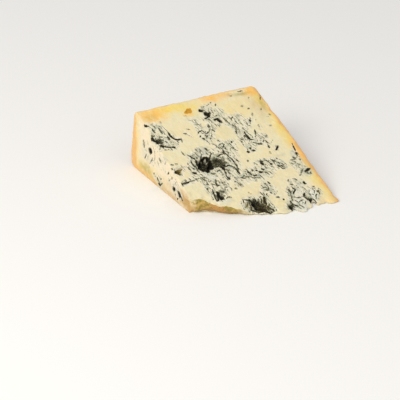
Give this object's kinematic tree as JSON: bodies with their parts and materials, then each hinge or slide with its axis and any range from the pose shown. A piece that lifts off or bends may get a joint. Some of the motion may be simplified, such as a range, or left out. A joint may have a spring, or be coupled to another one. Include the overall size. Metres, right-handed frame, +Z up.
{
  "type": "wedge of blue cheese",
  "caption": "Wedge of firm blue cheese with a sloping veined cut face, a broken crumbly tip, and rind on its back and one end, lying on its flat cut face.",
  "frame": {"origin": "on the flat cut face that the wedge lies on, under the middle of its bounding box", "axes": "+X along the wheel's axis towards the end with rind, +Y from the broken tip towards the curved rind, +Z up from the flat cut face"},
  "size_m": [0.1496, 0.1324, 0.0613],
  "materials": {
    "cheese": "moist ivory paste with blue-green veins, and a dull orange-cream rind"
  },
  "bodies": {
    "root": {"cheese_wedge": "cheese"}
  },
  "joints": []
}
